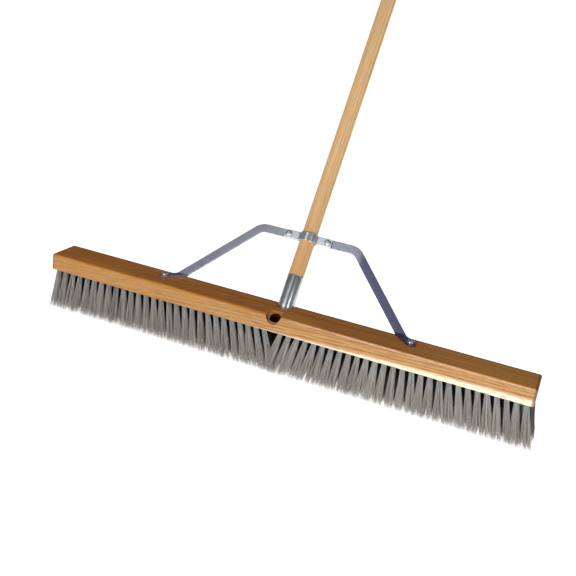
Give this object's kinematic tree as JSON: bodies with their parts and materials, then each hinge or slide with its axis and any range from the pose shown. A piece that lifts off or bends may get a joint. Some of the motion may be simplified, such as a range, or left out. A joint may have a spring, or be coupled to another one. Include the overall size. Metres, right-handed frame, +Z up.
{
  "type": "push broom",
  "caption": "Wide push broom: lacquered wooden block set with rows of flared tufts, a screw-in wooden handle leaning back from it, and a bolted flat-steel brace.",
  "frame": {"origin": "centre of the sweeping face, under the middle of the block, at the bristle tips", "axes": "+X along the block, +Y the side the handle leans to, +Z up from the bristle tips to the handle's top"},
  "size_m": [0.9144, 0.906, 1.3816],
  "materials": {
    "lacquered_wood": "clear lacquer over hardwood, eased edges",
    "handle_wood": "satin lacquer over straight-grained wood",
    "ferrule_steel": "drawn steel, lightly polished along its length",
    "cast_zinc": "die-cast zinc, dull",
    "zinc_plate": "zinc-plated mild steel strap, bluish",
    "clamp_plate": "zinc-plated steel, bright",
    "fastener_zinc": "zinc-plated screws, bolts and nuts",
    "bristle": "grey flagged plastic bristle with paler, split tips"
  },
  "bodies": {
    "head": {"block": "lacquered_wood", "brace_strap": "zinc_plate", "clamp_band": "clamp_plate", "clamp_bolt_left": "fastener_zinc", "clamp_bolt_right": "fastener_zinc", "clamp_nut_left": "fastener_zinc", "clamp_nut_right": "fastener_zinc", "foot_screw_left": "fastener_zinc", "foot_screw_right": "fastener_zinc", "tuft_row_front_left": "bristle", "tuft_row_front_right": "bristle", "tuft_row_second_left": "bristle", "tuft_row_second_right": "bristle", "tuft_row_centre": "bristle", "tuft_row_fourth_left": "bristle", "tuft_row_fourth_right": "bristle", "tuft_row_back_left": "bristle", "tuft_row_back_right": "bristle"},
    "handle_collar": {"ferrule": "ferrule_steel"},
    "handle_stick": {"handle": "handle_wood", "threaded_tip": "cast_zinc"}
  },
  "joints": [
    {"name": "handle_travel", "type": "slide", "parent": "head", "child": "handle_collar", "axis": [0, 0.5446, 0.8387], "range_m": [0, 0.019]},
    {"name": "handle_turn", "type": "hinge", "parent": "handle_collar", "child": "handle_stick", "pos_m": [0, 0.0217, 0.0993], "axis": [0, 0.5446, 0.8387], "range_deg": [0, 1346]}
  ],
  "couplings": [
    {"joint": "handle_travel", "follows": "handle_turn", "m_per_rad": 0.00080851}
  ]
}
